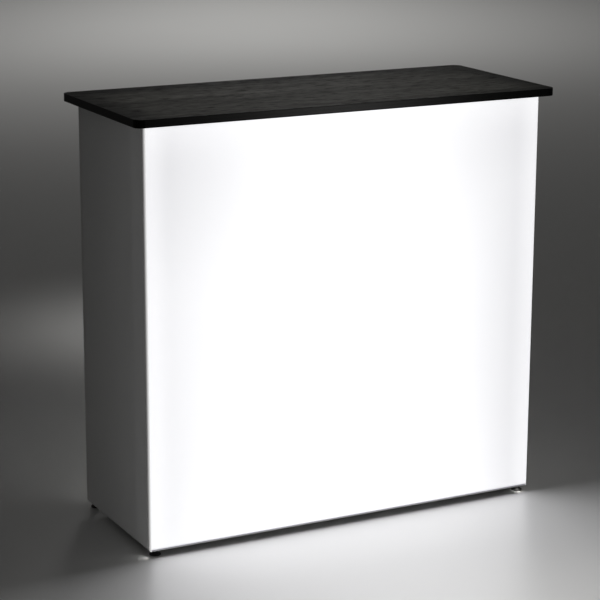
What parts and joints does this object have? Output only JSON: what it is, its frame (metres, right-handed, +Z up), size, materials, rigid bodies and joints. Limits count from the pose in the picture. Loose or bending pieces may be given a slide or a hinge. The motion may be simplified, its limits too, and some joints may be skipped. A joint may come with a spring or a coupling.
{
  "type": "exhibition counter",
  "caption": "Free-standing exhibition counter with a lit fabric front, plain cloth sides, black wood-grain top, levelling feet and open shelves at the back.",
  "frame": {"origin": "on the floor, under the centre of the counter", "axes": "+X along the front, left to right as seen by a visitor; +Y from the lit front to the open back; +Z up"},
  "size_m": [1.06, 0.44, 0.996],
  "materials": {
    "frame_white": "matt white powder coat",
    "foot_black": "moulded black nylon",
    "stem_steel": "black oxide",
    "block_white": "moulded white nylon",
    "side_cloth": "opaque white stretch knit",
    "edging_silicone": "milky silicone strip",
    "screw_steel": "zinc plated",
    "insert_brass": "turned brass",
    "top_black": "black wood-grain laminate",
    "band_black": "black edge band",
    "pin_steel": "turned, zinc plated",
    "bracket_steel": "folded, zinc plated",
    "shelf_white": "white melamine",
    "tray_white": "matt white powder coat",
    "channel_aluminium": "mill finish",
    "light_board_white": "white circuit board",
    "lens_clear": "clear moulding",
    "box_black": "textured black moulding",
    "driver_green": "circuit board",
    "inlet_black": "black moulding",
    "prong_metal": "nickel plated brass",
    "rocker_black": "polished black moulding",
    "lead_black": "black sheath",
    "grommet_rubber": "black rubber",
    "clip_white": "white nylon",
    "front_cloth": "translucent white stretch knit, lit from behind"
  },
  "bodies": {
    "frame": {"base_shelf": "shelf_white", "driver_board": "driver_green", "foot_inserts": "insert_brass", "frame_screws": "screw_steel", "front_bottom_rail": "frame_white", "front_fabric": "front_cloth", "front_fabric_edging": "edging_silicone", "front_left_bottom_block": "block_white", "front_left_post": "frame_white", "front_left_top_block": "block_white", "front_right_bottom_block": "block_white", "front_right_post": "frame_white", "front_right_top_block": "block_white", "front_top_rail": "frame_white", "inlet_prongs": "prong_metal", "lead_clips": "clip_white", "lead_grommets": "grommet_rubber", "left_bottom_rail": "frame_white", "left_fabric": "side_cloth", "left_fabric_edging": "edging_silicone", "left_shelf_rail": "frame_white", "left_top_rail": "frame_white", "light_boards": "light_board_white", "light_channels": "channel_aluminium", "light_leads": "lead_black", "light_lenses": "lens_clear", "light_tray": "tray_white", "mains_inlet": "inlet_black", "middle_shelf": "shelf_white", "panel_screws": "screw_steel", "power_box_base": "box_black", "power_box_cover": "box_black", "rear_bottom_rail": "frame_white", "rear_left_bottom_block": "block_white", "rear_left_post": "frame_white", "rear_left_top_block": "block_white", "rear_right_bottom_block": "block_white", "rear_right_post": "frame_white", "rear_right_top_block": "block_white", "rear_top_rail": "frame_white", "right_bottom_rail": "frame_white", "right_fabric": "side_cloth", "right_fabric_edging": "edging_silicone", "right_shelf_rail": "frame_white", "right_top_rail": "frame_white", "shelf_rail_brackets": "bracket_steel", "switch_frame": "inlet_black"},
    "countertop": {"countertop_board": "top_black", "countertop_edge_band": "band_black", "countertop_pins": "pin_steel"},
    "front_left_foot": {"front_left_foot_pad": "foot_black", "front_left_foot_stem": "stem_steel"},
    "front_right_foot": {"front_right_foot_pad": "foot_black", "front_right_foot_stem": "stem_steel"},
    "rear_left_foot": {"rear_left_foot_pad": "foot_black", "rear_left_foot_stem": "stem_steel"},
    "rear_right_foot": {"rear_right_foot_pad": "foot_black", "rear_right_foot_stem": "stem_steel"},
    "rocker": {"switch_rocker": "rocker_black"}
  },
  "joints": [
    {"name": "countertop_lift", "type": "slide", "parent": "frame", "child": "countertop", "axis": [0, 0, 1], "range_m": [0, 0.06]},
    {"name": "front_left_foot_screw", "type": "slide", "parent": "frame", "child": "front_left_foot", "axis": [0, 0, -1], "range_m": [0, 0.015]},
    {"name": "front_right_foot_screw", "type": "slide", "parent": "frame", "child": "front_right_foot", "axis": [0, 0, -1], "range_m": [0, 0.015]},
    {"name": "rear_left_foot_screw", "type": "slide", "parent": "frame", "child": "rear_left_foot", "axis": [0, 0, -1], "range_m": [0, 0.015]},
    {"name": "rear_right_foot_screw", "type": "slide", "parent": "frame", "child": "rear_right_foot", "axis": [0, 0, -1], "range_m": [0, 0.015]},
    {"name": "switch_tilt", "type": "hinge", "parent": "frame", "child": "rocker", "pos_m": [0.34254, -0.0704, 0.128], "axis": [1, 0, 0], "range_deg": [-18, 0]}
  ]
}
